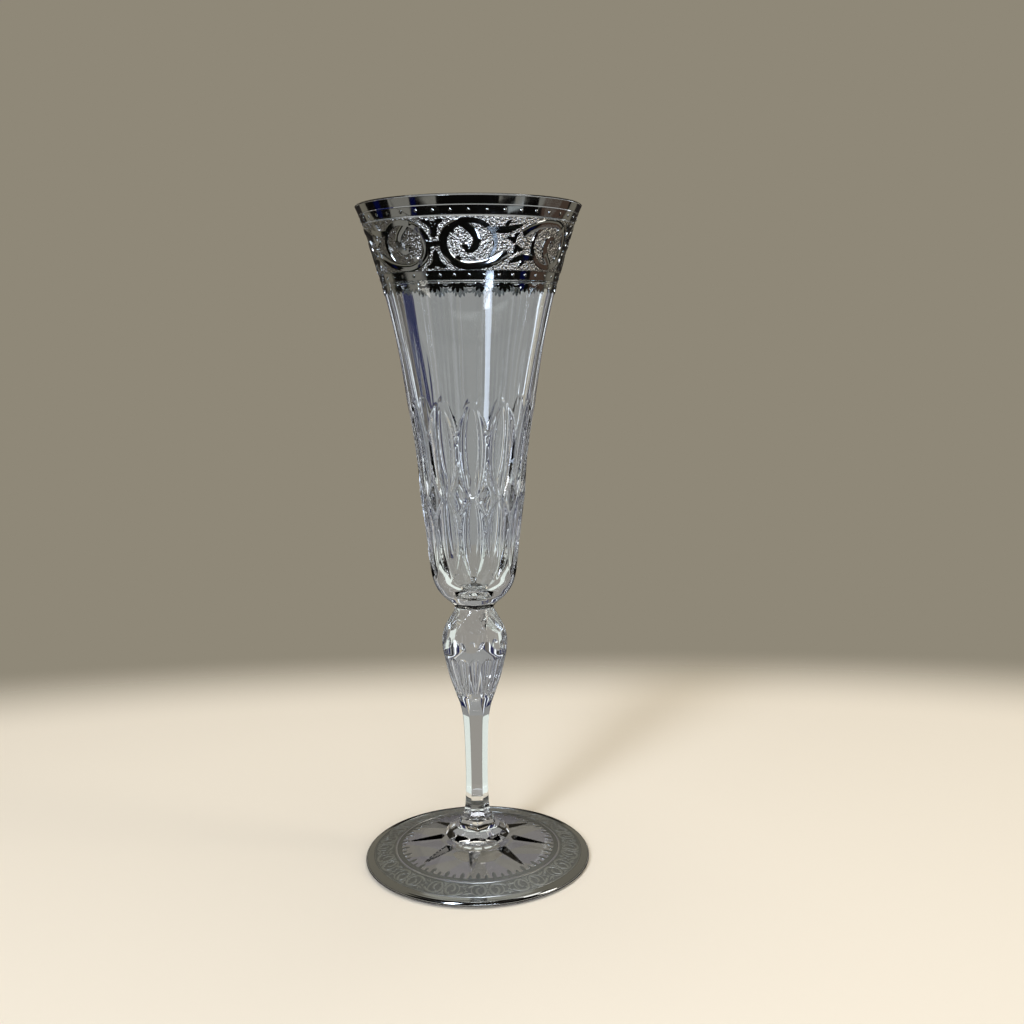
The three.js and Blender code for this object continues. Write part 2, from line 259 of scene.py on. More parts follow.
class NodeTree:
    """A node tree under way, with what the finishes have in common."""

    def __init__(self, owner: Material | bpy.types.World) -> None:
        """Starts from an empty tree."""
        owner.use_nodes = True
        self.tree = owner.node_tree
        self.tree.nodes.clear()

    @cached_property
    def place(self) -> Socket:
        """A point's place on its piece."""
        return self.add("TexCoord").outputs["Object"]

    def add(self, kind: str, inputs: Inputs | None = None, **settings: object) -> bpy.types.Node:
        """Adds one shader node with its settings, socket values and links.

        Args:
            kind: the node's type name, after ShaderNode.
            inputs: a value or an output socket to link, by input name or number.
            settings: properties of the node.

        Returns:
            The new node.
        """
        node = self.tree.nodes.new(f"ShaderNode{kind}")
        for name, value in settings.items():
            setattr(node, name, value)
        for name, value in (inputs or {}).items():
            if isinstance(value, Socket):
                self.tree.links.new(value, node.inputs[name])
            else:
                node.inputs[name].default_value = value
        return node

    def surface(self, kind: str, inputs: Inputs | None = None) -> None:
        """Adds the shader that the whole surface ends in."""
        self.add("OutputMaterial", {"Surface": self.add(kind, inputs).outputs[0]})

    def noise(self, size_mm: float, detail: float) -> Socket:
        """Cloudy patches about size_mm across."""
        inputs = {"Vector": self.place, "Scale": 1 / (size_mm * MM), "Detail": detail}
        return self.add("TexNoise", inputs).outputs[0]

    def raised(self, height: Socket, rise_mm: float, strength: float) -> Socket:
        """The normal of a surface that a pattern raises by up to rise_mm."""
        inputs = {"Height": height, "Distance": rise_mm * MM, "Strength": strength}
        return self.add("Bump", inputs).outputs[0]


def new_material(name: str) -> tuple[Material, NodeTree]:
    """A material with an empty node tree."""
    material = bpy.data.materials.new(name)
    return material, NodeTree(material)


@dataclass(frozen=True)
class LeadCrystal:
    """Lead crystal, blown, wheel cut and acid polished: clear, bright, with a slow ripple."""

    name: str
    colour: str = "#F7FAFB"
    ior: float = 1.545
    ripple_mm: float = 9.0
    ripple_height_mm: float = 0.02

    def material(self) -> Material:
        """Clear glass whose surface swells very slightly, as hand-blown glass does; a darker colour tints it
        with painted shade.
        """
        material, tree = new_material(self.name)
        swell = tree.raised(tree.noise(self.ripple_mm, 1.0), self.ripple_height_mm, 0.5)
        look = {"Base Color": srgb(self.colour), "Roughness": 0.0, "IOR": self.ior}
        tree.surface("BsdfPrincipled", look | {"Transmission Weight": 1.0, "Normal": swell})
        return material


@dataclass(frozen=True)
class FusedFace:
    """The face where two gathers were fused: there is no surface left, so light goes straight on."""

    name: str = "fused_joint"

    def material(self) -> Material:
        """Fully clear, with no bend and no shine."""
        material, tree = new_material(self.name)
        tree.surface("BsdfTransparent")
        return material


@dataclass(frozen=True)
class PolishedPlatinum:
    """Bright platinum lustre, fired on and burnished: a grey mirror with faint rubbing marks."""

    name: str = "polished_platinum"
    colour: str = "#ABAFB2"
    roughness: float = 0.05
    rubbed: float = 0.06
    mark_mm: float = 2.5

    def material(self) -> Material:
        """Metal whose roughness changes in soft patches, where it has been handled and wiped."""
        material, tree = new_material(self.name)
        marks = {"Value": tree.noise(self.mark_mm, 4.0), "From Min": 0.35, "From Max": 0.7}
        marks |= {"To Min": self.roughness, "To Max": self.roughness + self.rubbed}
        rough = tree.add("MapRange", marks).outputs[0]
        look = {"Base Color": srgb(self.colour), "Metallic": 1.0, "Roughness": rough}
        tree.surface("BsdfPrincipled", look)
        return material


@dataclass(frozen=True)
class EtchedPlatinum:
    """Platinum over acid-etched glass: a bright, sparkling frost. Its real grain is about 0.1 mm."""

    name: str
    colour: str = "#DEDEDC"
    shade: str = "#8C8C8A"
    roughness: float = 0.26
    grain_mm: float = 0.8  # drawn coarser than the real etch, so that it shows
    grain_height_mm: float = 0.3

    def material(self) -> Material:
        """Metal broken into small crystals that each catch the light their own way."""
        material, tree = new_material(self.name)
        grain = {"Vector": tree.place, "Scale": 1 / (self.grain_mm * MM)}
        crystals = tree.add("TexVoronoi", grain).outputs["Distance"]
        frost = tree.noise(self.grain_mm / 1.6, 3.0)
        height = tree.add("Math", {0: crystals, 1: frost}, operation="ADD").outputs[0]
        tones = {"Factor": frost, "A": srgb(self.shade), "B": srgb(self.colour)}
        look = {
            "Base Color": tree.add("Mix", tones, data_type="RGBA").outputs["Result"],
            "Metallic": 1.0,
            "Roughness": self.roughness,
            "Normal": tree.raised(height, self.grain_height_mm, 1.0),
        }
        tree.surface("BsdfPrincipled", look)
        return material


# ---- Glass outlines and cuts ----


@dataclass
class GlassShape:
    """The outlines of the glass, and the heights at which one gather meets the next."""

    collar_seat: float
    step_seat: float
    knop_seat: float
    neck_seat: float
    bowl_seat: float
    height: float
    rim_radius: float
    foot_radius: float

    @classmethod
    def from_frame(cls) -> GlassShape:
        """Reads the joints and the overall sizes from the CAD nodes' boxes."""
        nodes = ("foot", "collar", "stem", "knop", "neck_ring", "bowl")
        rim, foot_edge = (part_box(node)[1][0] / MM for node in ("lip_band", "foot_edge_band"))
        return cls(*(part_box(node)[1][2] / MM for node in nodes), rim, foot_edge - CAD_FILM)

    def __post_init__(self) -> None:
        """Sets out the outlines."""
        rim = self.rim_radius
        self.bowl = Outline(
            [
                (8.1, self.bowl_seat), (10.3, 92.9), (12.8, 96.3), (14.3, 101.5), (16.1, 115), (18.5, 138.6),
                (21.1, 158.3), (24.1, 177.7), (28.2, 195.5), (rim - 3.1, 212.4), (rim, self.height),
            ]
        )
        self.hollow = Outline(
            [
                (0, 94.5), (1.6, 94.52), (3.2, 94.7), (6.2, 95.9), (9.2, 99.5), (11.6, 107), (14.3, 127.5),
                (18.9, 157), (22.7, 177.7), (26.9, 195.5), (rim - 1.1, self.height),
            ]
        )
        self.knop = Outline(
            [
                (5, self.knop_seat - 1.1), (6.3, 57.9), (8.8, 65), (10.4, 72), (11, 77.3), (10.1, 82.1),
                (7.9, 85.9), (6.7, self.neck_seat),
            ]
        )
        self.stem = Outline(
            [
                (5.3, 15.2), (4.6, 16.6), (4, 20.2), (3.72, 31), (4.1, 45.5), (4.6, 51.5),
                (float(self.knop.radius(self.knop_seat)), self.knop_seat),
            ]
        )


def glass_body(name: str, rows: Array, materials: list[Material], top: Slot = Slot.FUSED) -> Piece:
    """Makes a turned piece of glass from rows of points that run up from its fused bottom."""
    draft = Draft()
    draft.closed(rows, Slot.FUSED, top)
    return draft.build(name, *materials)


def pointed_oval(height: Array, bottom: float, top: float, fullness: float) -> Array:
    """The half width of a pointed oval between two heights, 1 at its middle and 0 at its tips."""
    share = np.clip((height - bottom) / (top - bottom), 0, 1)
    return np.sin(math.pi * share) ** fullness


def inside_cut(across: Array, half_width: Array) -> Array:
    """How far inside a cut a point lies: 0 at its rim and 1 on its middle line."""
    return np.clip(1 - across / np.maximum(half_width, 1e-6), 0, 1)


def mitre(across: Array, half_width: Array, hollow: float = 0.0) -> Array:
    """How deep a wheel cut is, from 0 to 1: a straight V where hollow is 0, a round one at 1."""
    inside = inside_cut(across, half_width)
    return half_width * ((1 - hollow) * inside + hollow * inside * (2 - inside))


def olive(across: Array, half_width: Array) -> Array:
    """How deep a broad hollow cut is, from 0 to 1: nearly flat inside, steep at its rim."""
    inside = inside_cut(across, half_width)
    bowed = inside * (2 - inside)
    return half_width * bowed * (2 - bowed)


@dataclass
class Bowl:
    """The trumpet bowl: long flat panels above, two rows of pointed-oval cuts below."""

    shape: GlassShape
    columns: int = 12
    panel_depth: float = 0.08
    panel_start: Pair = (150, 12)  # where the panels begin, and over what height they fade in
    panel_end: Pair = (200, 30)
    rows: tuple[Triple, ...] = (
        (100.5, 128.0, 1.25),
        (126.5, 158.5, 1.2),
    )  # bottom, top and depth of each row of cuts
    oval_fullness: float = 0.62
    notch: Triple = (122.5, 132.5, 0.55)
    notch_width: float = 0.3
    notch_fullness: float = 0.9
    lip_half_width: float = 0.5
    lip_inset: float = 0.05
    lip_rise: float = 0.6

    def cut(self, radius: Array, angle: Array, height: Array) -> Array:
        """Cuts the panels, the two rows of ovals and the small notches between them."""
        half = math.pi / self.columns
        across = np.abs(sector_offset(angle, self.columns)) / half
        between = np.abs(sector_offset(angle, self.columns, half)) / half
        (start, fade_in), (end, fade_out) = self.panel_start, self.panel_end
        fade = np.clip((end - height) / fade_out, 0, 1) * np.clip((height - start) / fade_in, 0, 1)
        cut_depth = self.panel_depth * fade * (1 - across**2)
        for bottom, top, depth in self.rows:
            width = pointed_oval(height, bottom, top, self.oval_fullness)
            cut_depth = np.maximum(cut_depth, depth * olive(across, width))
        bottom, top, depth = self.notch
        width = self.notch_width * pointed_oval(height, bottom, top, self.notch_fullness)
        return radius - np.maximum(cut_depth, depth * mitre(between, width) / self.notch_width)

    def build(self, materials: list[Material]) -> Piece:
        """Makes the bowl as one closed body, open at its mouth and fused shut at its base."""
        shape = self.shape
        lip_height = shape.height - self.lip_rise
        lip_middle = shape.rim_radius - self.lip_half_width - self.lip_inset
        base = shape.bowl_seat + 10 * np.linspace(0, 1, 22) ** 1.6
        heights = np.concatenate([base, np.linspace(101.3, 159, 116), np.linspace(160.5, lip_height, 34)])
        outer = ring_points(shape.bowl.radius(heights), heights, self.cut)
        turn = np.linspace(0.12, 0.88, 6) * math.pi
        lip_radii = lip_middle + self.lip_half_width * np.cos(turn)
        lip = ring_points(lip_radii, lip_height + self.lip_rise * np.sin(turn))
        hollow = shape.hollow.curve[::-14]
        hollow = hollow[(hollow[:, 1] < lip_height) & (hollow[:, 0] > 0.15)]
        inner = ring_points(hollow[:, 0], hollow[:, 1])
        return glass_body("crystal_bowl", np.concatenate([outer, lip, inner]), materials, Slot.CLEAR)


@dataclass
class NeckRing:
    """The wafer between bowl and knop, with a groove round its waist."""

    shape: GlassShape

    def build(self, materials: list[Material]) -> Piece:
        """Makes the wafer, fused at both faces."""
        waist = [(6.45, 89), (7.0, 89.8)]
        outline = smooth_curve([(6.7, self.shape.neck_seat), *waist, (8.1, self.shape.bowl_seat)], 24)
        return glass_body("crystal_neck_ring", ring_points(outline[:, 0], outline[:, 1]), materials)


@dataclass
class StemCuts:
    """The six flats that run the length of the stem and die away in arches on the knop."""

    shape: GlassShape
    sides: int = 6
    arch_start: float = 50.0
    arch_height: float = 58.6
    arch_curve: float = 1.6

    def cut(self, radius: Array, angle: Array, height: Array) -> Array:
        """Cuts the six flats, one of them facing the front."""
        start = self.arch_start
        base = self.shape.stem.radius(np.minimum(height, start)) * math.cos(math.pi / self.sides)
        rise = np.clip((height - start) / (self.arch_height - start), 0, None)
        arch = float(self.shape.knop.radius(self.arch_height))
        flat = base + (arch - base) * rise**self.arch_curve
        return np.minimum(radius, flat / np.cos(sector_offset(angle, self.sides)))


@dataclass
class Knop:
    """The inverted baluster: six facets above the waist, sixteen flutes below it."""

    shape: GlassShape
    stem_cuts: StemCuts
    facets: int = 6
    facet_turn: float = math.radians(-8)
    facet_clearance: float = 0.05  # keeps the facets off the neck
    waist: float = 75.5
    flutes: int = 16
    flute_bottom: Pair = (58.5, 2.2)  # where the flutes end, and the height of the rounded end
    flute_top: Pair = (73.2, 3.2)
    flute_depth: float = 0.75
    flute_hollow: float = 0.8

    def cut(self, radius: Array, angle: Array, height: Array) -> Array:
        """Cuts the facets, the flutes and the ends of the stem's flats."""
        waist_radius = float(self.shape.knop.radius(self.waist))
        neck_radius = float(self.shape.knop.radius(self.shape.neck_seat))
        climb = (height - self.waist) / (self.shape.neck_seat - self.waist)
        plane = waist_radius + (neck_radius + self.facet_clearance - waist_radius) * climb
        facet = plane / np.cos(sector_offset(angle, self.facets, self.facet_turn))
        upper = np.minimum(radius, np.where(height > self.waist, facet, radius))
        across = np.abs(sector_offset(angle, self.flutes)) / (math.pi / self.flutes)
        arch = np.clip((self.flute_top[0] - height) / self.flute_top[1], 0, 1)
        foot = np.clip((height - self.flute_bottom[0]) / self.flute_bottom[1], 0, 1)
        width = np.sqrt(arch * (2 - arch)) * np.sqrt(foot * (2 - foot))
        fluted = upper - self.flute_depth * mitre(across, width, self.flute_hollow)
        return self.stem_cuts.cut(fluted, angle, height)

    def build(self, materials: list[Material]) -> Piece:
        """Makes the knop, fused at both ends."""
        heights = np.linspace(self.shape.knop_seat, self.shape.neck_seat, 150)
        rows = ring_points(self.shape.knop.radius(heights), heights, self.cut)
        return glass_body("crystal_knop", rows, materials)


@dataclass
class Stem:
    """The hexagonal stem and the hexagonal step at its bottom."""

    shape: GlassShape
    cuts: StemCuts
    step_corner: float = 7.3
    step_turn: float = math.radians(30)  # a corner of the step faces the front
    broken_corner: float = 0.985

    def step_section(self, radius: Array, angle: Array, height: Array) -> Array:
        """A hexagon whose corners are just broken, the same at every height."""
        offset = sector_offset(angle, self.cuts.sides, self.step_turn)
        flat = radius * math.cos(math.pi / self.cuts.sides) / np.cos(offset)
        return np.minimum(flat, radius * self.broken_corner)

    def build(self, materials: list[Material]) -> Piece:
        """Makes step and stem as one body, fused at both ends."""
        step_heights = np.array([self.shape.step_seat, 12.4, 12.9, 13.05, 13.3, 13.45, 14.0, 14.7, 14.9])
        step_radii = np.array([1.0, 0.99, 0.965, 0.94, 0.9, 0.88, 0.86, 0.83, 0.8]) * self.step_corner
        step = ring_points(step_radii, step_heights, self.step_section)
        heights = np.concatenate([np.linspace(15.1, 22, 30), np.linspace(22.4, self.shape.knop_seat, 110)])
        shaft = ring_points(self.shape.stem.radius(heights), heights, self.cuts.cut)
        return glass_body("crystal_stem", np.concatenate([step, shaft]), materials)


@dataclass
class Collar:
    """The round cushion between stem and foot, cut with two rows of facets like a brilliant."""

    shape: GlassShape
    stem: Stem
    facets: int = 12
    belt_height: float = 8.9
    belt_radius: float = 11.1
    facet_reach: float = 0.985
    crown_slope: float = 0.62
    pavilion_slope: float = 0.75
    seat_radius: float = 9.2

    def cut(self, radius: Array, angle: Array, height: Array) -> Array:
        """Cuts sloping facets above the belt and, half a step round, below it."""
        reach, rise = self.belt_radius * self.facet_reach, height - self.belt_height
        crown = (reach - self.crown_slope * rise) / np.cos(sector_offset(angle, self.facets))
        half_step = sector_offset(angle, self.facets, math.pi / self.facets)
        pavilion = (reach + self.pavilion_slope * rise) / np.cos(half_step)
        return np.minimum(radius, np.minimum(crown, pavilion))

    def build(self, materials: list[Material]) -> Piece:
        """Makes the cushion. Its top is fused over the stem's hexagon only."""
        seat, top_seat = self.shape.collar_seat, self.shape.step_seat
        cushion = [(self.belt_radius, self.belt_height), (10.1, 10.6), (7.6, top_seat)]
        outline = smooth_curve([(self.seat_radius, seat), *cushion], 60)
        side = ring_points(outline[:, 0], outline[:, 1], self.cut)
        top = ring_points(self.stem.step_corner, top_seat, self.stem.step_section)
        rows = np.concatenate([ring_points(self.seat_radius, seat), side[1:], top])
        return glass_body("crystal_collar", rows, materials)


@dataclass
class Foot:
    """The foot: a shallow cone on a flat ring, hollow below, with eight radial wedge cuts."""

    shape: GlassShape
    collar: Collar
    cone_inner: float = 11.6
    flat_radius: float = 38.0
    edge_height: float = 2.0
    edge_middle: float = 37.6
    edge_rounding: float = 1.02
    hollow_radius: float = 32.0
    hollow_height: float = 3.6
    cuts: int = 8
    cut_turn: float = math.radians(-5.5)
    cut_tip: float = 23.6
    cut_half_width: float = 2.1
    cut_depth: float = 1.5

    def top(self, radius: float | Array) -> Array:
        """The height of the cone's upper face at a radius."""
        share = (self.flat_radius - radius) / (self.flat_radius - self.cone_inner)
        return self.edge_height + share * (self.shape.collar_seat - self.edge_height)

    def edge(self, turn: Array, off: float = 0.0) -> tuple[Array, Array]:
        """The radii and heights of the rounded edge, or of a skin that stands off it."""
        bulge = self.shape.foot_radius - self.edge_middle
        heights = self.edge_rounding + (self.edge_rounding + off) * np.sin(turn)
        return self.edge_middle + (bulge + off) * np.cos(turn), heights

    def wedges(self, radii: Array) -> Array:
        """How deep the wedge cuts are, in rows of one radius each."""
        across = np.abs(sector_offset(full_turn(SIDES), self.cuts, self.cut_turn)) * radii
        inward = np.clip((self.cut_tip - radii) / (self.cut_tip - self.cone_inner), 0, 1)
        near_collar = np.clip(radii - self.cone_inner, 0, 1)
        width = inward**0.7 * self.cut_half_width * near_collar
        return self.cut_depth * mitre(across, width) / self.cut_half_width

    def build(self, materials: list[Material]) -> Piece:
        """Makes the foot, fused to the collar in the middle of its top. Its wedge cuts are dark glass,
        painted shade for the light they turn away, except the front cut, which stays clear.
        """
        below = np.linspace(0.4, self.hollow_radius, 40)
        hollow = ring_points(below, self.hollow_height * (1 - (below / self.hollow_radius) ** 2))
        rest = ring_points(np.array([33.0, 37.2]), np.zeros(2))
        edge = ring_points(*self.edge(np.linspace(-0.5, 0.5, 11) * math.pi))
        outward = np.linspace(36.8, self.cut_tip, 24)
        radii = np.concatenate([outward, np.linspace(self.cut_tip - 0.3, self.cone_inner, 46)])
        cone, depth = ring_points(radii, self.top(radii)), self.wedges(radii[:, None])
        cone[:, :, 2] -= depth
        ledge = ring_points(self.collar.seat_radius, self.shape.collar_seat)
        draft = Draft()
        draft.closed(np.concatenate([hollow, rest, edge, cone, ledge]), Slot.CLEAR, Slot.FUSED)
        first = (len(hollow) + len(rest) + len(edge)) * SIDES
        # every wedge cut but the front one gets the dark glass: painted shade
        depth *= np.abs(sector_offset(full_turn(SIDES), 1, self.cut_turn)) > math.pi / self.cuts
        for quad in np.nonzero(np.maximum(depth[:-1], depth[1:]).ravel() > 0.03)[0]:
            draft.slots[first + quad] = Slot.PAINTED_CUT_SHADE.value
        return draft.build("crystal_foot", *materials)


# ---- Platinum relief ----


class Surface(Protocol):
    """A surface that flat ornament is laid on, unrolled about a reference radius."""

    reference: float

    def place(self, along: Array, up: Array, off: Array) -> Array:
        """Points in space for a distance round the piece, a distance up the band and off the glass."""


@dataclass
class BowlWall:
    """The outside of the bowl, unrolled about a reference height."""

    shape: GlassShape
    middle: float
    lowest: float = 185.0

    def __post_init__(self) -> None:
        """Measures distances along the wall."""
        self.heights = np.linspace(self.lowest, self.shape.height, 400)
        self.radii = self.shape.bowl.radius(self.heights)
        steps = np.hypot(np.diff(self.heights), np.diff(self.radii))
        self.run = np.concatenate([[0], np.cumsum(steps)])
        self.run -= np.interp(self.middle, self.heights, self.run)
        self.lean = np.arctan2(np.gradient(self.radii), np.gradient(self.heights))
        self.reference = float(self.shape.bowl.radius(self.middle))

    def place(self, along: Array, up: Array, off: Array) -> Array:
        """Wraps flat ornament round the leaning wall."""
        height = np.interp(up, self.run, self.heights)
        radius, lean = (np.interp(height, self.heights, measure) for measure in (self.radii, self.lean))
        angle, reach = along / self.reference, radius + off * np.cos(lean)
        return turned_points(reach, angle, height - off * np.sin(lean))


@dataclass
class FootTop:
    """The top of the foot, unrolled about a reference radius. Up the band is outwards."""

    foot: Foot
    reference: float

    def place(self, along: Array, up: Array, off: Array) -> Array:
        """Lays flat ornament round the cone."""
        radius = self.reference + up
        return turned_points(radius, -along / self.reference, self.foot.top(radius) + off)


@dataclass
class Stroke:
    """One stroke of the ornament: a path on the flat, and its width along it."""

    path: Array
    widths: Array

    def moved(self, along: float, up: float = 0.0, hand: Pair = (1.0, 1.0)) -> Stroke:
        """The stroke stretched or mirrored by hand, along and up, and then moved."""
        return Stroke(self.path * np.array(hand) + np.array([along, up]), self.widths)


def arc(centre: Pair, radii: Pair, start: float, end: float) -> Array:
    """Points on part of an ellipse, with its start and end angles in degrees."""
    turn = np.radians(np.linspace(start, end, max(8, round(abs(end - start) / 4)) + 1))
    return np.stack([centre[0] + radii[0] * np.cos(turn), centre[1] + radii[1] * np.sin(turn)], axis=-1)


def tapered(path: Array, start: float, middle: float, end: float) -> Stroke:
    """A stroke whose width swells smoothly from start to middle to end."""
    share = np.linspace(0, 1, len(path))
    near_end = np.where(share < 0.5, start, end)
    return Stroke(path, near_end + (middle - near_end) * np.sin(share * math.pi))


def leaf(root: Pair, tip: Pair, width: float, bend: float = 0.0) -> Stroke:
    """A pointed leaf from root to tip, its middle pushed sideways by bend."""
    start, end = np.array(root), np.array(tip)
    side = np.array([start[1] - end[1], end[0] - start[0]]) * bend
    path = smooth_curve([tuple(start), tuple((start + end) / 2 + side), tuple(end)], 12)
    share = np.clip(0.08 + 0.9 * np.linspace(0, 1, len(path)), 0, 1)
    return Stroke(path, width * np.sin(math.pi * share) ** 0.8 + 0.05)


class Ornament(Draft):
    """Work laid on one surface. Each part has a foot and a crest, given as distances off the glass."""

    bar = ((-1.0, 0.0), (1.0, 0.0), (0.95, 0.7), (0.8, 1.0), (-0.8, 1.0), (-0.95, 0.7))
    bead_sides = 16
    bead_rings = (0, 22, 45, 68)
    band_step = 0.8
    bevel = 0.08

    def __init__(self, surface: Surface) -> None:
        """Starts with a bare surface."""
        super().__init__()
        self.surface = surface

    def stroke(self, stroke: Stroke, foot: float, crest: float) -> None:
        """Lays a stroke as a flat-topped bar with bevelled edges."""
        ahead = np.gradient(stroke.path, axis=0)
        ahead /= np.maximum(np.linalg.norm(ahead, axis=1, keepdims=True), 1e-9)
        side = np.stack([ahead[:, 1], -ahead[:, 0]], axis=-1)
        columns = []
        for across, lift in self.bar:
            flat = stroke.path + side * (stroke.widths[:, None] * across / 2)
            off = np.full(len(flat), foot + (crest - foot) * lift)
            columns.append(self.surface.place(flat[:, 0], flat[:, 1], off))
        self.closed(np.stack(columns, axis=1))

    def bead(self, along: float, up: float, radius: float, foot: float, crest: float) -> None:
        """Lays a round bead."""
        turn, rows = full_turn(self.bead_sides), []
        for rise in np.radians(self.bead_rings):
            reach = radius * math.cos(rise)
            off = np.full(len(turn), foot + (crest - foot) * math.sin(rise))
            rows.append(self.surface.place(along + reach * np.cos(turn), up + reach * np.sin(turn), off))
        self.closed(np.stack(rows))

    def band(self, low: float, high: float, foot: float, crest: float) -> None:
        """Lays a plain skin all the way round, between two distances up the surface."""
        up = np.linspace(low, high, max(2, round((high - low) / self.band_step)) + 1)
        edge = min(self.bevel, (high - low) / 6)
        levels = [*up[::-1], low + edge, *up[1:-1], high - edge]
        along, level = np.meshgrid(full_turn(SIDES) * self.surface.reference, levels)
        off = np.repeat([foot, crest], len(up))[:, None]
        self.grid(self.surface.place(along, level, off), wrap_rows=True)


@dataclass
class ScrollPattern:
    """A quarter of a running scroll: a pair of volutes joined by a bar, and the leaves beside them.

    Its band is 15.6 mm wide. The next quarter is the same, upside down, so that the thick tails pass
    each other in the gap between two pairs.
    """

    length: float
    pair_gap: float = 20.7
    band: float = 15.6

    def volute(self) -> list[Stroke]:
        """An open ring with a tail, a hook curling in to a bulb, and two spurs."""
        tail = [(0.3, -6.7), (4.0, -6.4), (8.2, -5.1), (12.0, -2.9)]
        hook = [(-2.0, 6.3), (-0.5, 5.0), (1.3, 3.3), (2.3, 1.1), (1.6, -1.2), (0.2, -2.2), (-1.2, -1.9)]
        return [
            tapered(arc((0, 0), (7.8, 6.75), 84, 274), 1.9, 2.7, 2.5),
            tapered(arc((0, 0), (7.9, 6.75), 92, -44), 1.9, 1.5, 0.8),
            tapered(smooth_curve(tail, 20), 2.5, 2.7, 2.8),
            tapered(smooth_curve(hook, 44), 2.6, 2.5, 0.9),
            leaf((-7.0, 4.3), (-4.3, 3.3), 2.1, 0.2),
            leaf((-5.6, -5.4), (-2.9, -3.4), 2.5, -0.25),
        ]

    def sprig(self) -> list[Stroke]:
        """Three leaves above the bar."""
        side_leaves = [leaf((hand * 0.3, 4.2), (hand * 3.4, 7.1), 1.8, hand * 0.2) for hand in (-1, 1)]
        return [leaf((0, 1.9), (0, 6.9), 2.5), *side_leaves]

    def crossing(self) -> list[Stroke]:
        """The leaves on one side of the place where two tails pass each other."""
        return [
            leaf((-8.6, 4.4), (1.8, 5.8), 2.1, -0.1),
            leaf((-0.3, 0.2), (0.9, 3.3), 1.5, 0.2),
            leaf((-0.2, 0.3), (-3.0, 1.9), 1.5, -0.15),
            leaf((-3.4, 3.9), (-2.0, 7.0), 1.4, 0.15),
        ]

    def strokes(self) -> list[Stroke]:
        """Every stroke of one quarter, with the right-hand volute of the pair at the origin."""
        bar, gap_middle = -self.pair_gap / 2, (self.length - self.pair_gap) / 2
        joining = tapered(smooth_curve([(bar - 2.6, 0.1), (bar, 0), (bar + 2.6, 0.1)], 12), 2.6, 1.5, 2.6)
        laid = [*self.volute(), joining]
        laid += [stroke.moved(-self.pair_gap, 0, (-1, 1)) for stroke in self.volute()]
        for hand in (1, -1):
            laid += [stroke.moved(bar, 0, (1, hand)) for stroke in self.sprig()]
        for hand in (1, -1):
            laid += [stroke.moved(gap_middle, 0, (hand, hand)) for stroke in self.crossing()]
        return laid

    def lay(self, work: Ornament, quarters: int, scale: Pair, off: Pair, thinning: float = 1.0) -> None:
        """Lays the pattern all the way round.

        Args:
            work: what it is laid on.
            quarters: how many times it repeats, every second time upside down.
            scale: how far it is stretched along and up the band.
            off: how far the strokes' feet and crests stand off the glass.
            thinning: what the strokes' widths are multiplied by.
        """
        along, across = scale
        for quarter in range(quarters):
            for stroke in self.strokes():
                laid = stroke.moved(quarter * along * self.length, 0, (along, (-1) ** quarter * across))
                work.stroke(Stroke(laid.path, laid.widths * thinning), *off)

    def bulbs(self) -> list[Triple]:
        """The round ends of the hooks: place along, place up, radius."""
        return [(-1.0, -0.9, 1.3), (1.0 - self.pair_gap, -0.9, 1.3)]


@dataclass(frozen=True)
class Film:
    """The fired film: its gap to the glass, and how far its face and its raised work stand off."""

    gap: float = 0.02
    face: float = 0.12
    relief: float = 0.34
    bead: float = 0.36
    bulb: float = 0.40
    fillet: float = 0.17
    foot_face: float = 0.08
    bite: float = 0.04  # how far raised work reaches into the film, so that no slit shows
    fillet_bite: float = 0.03


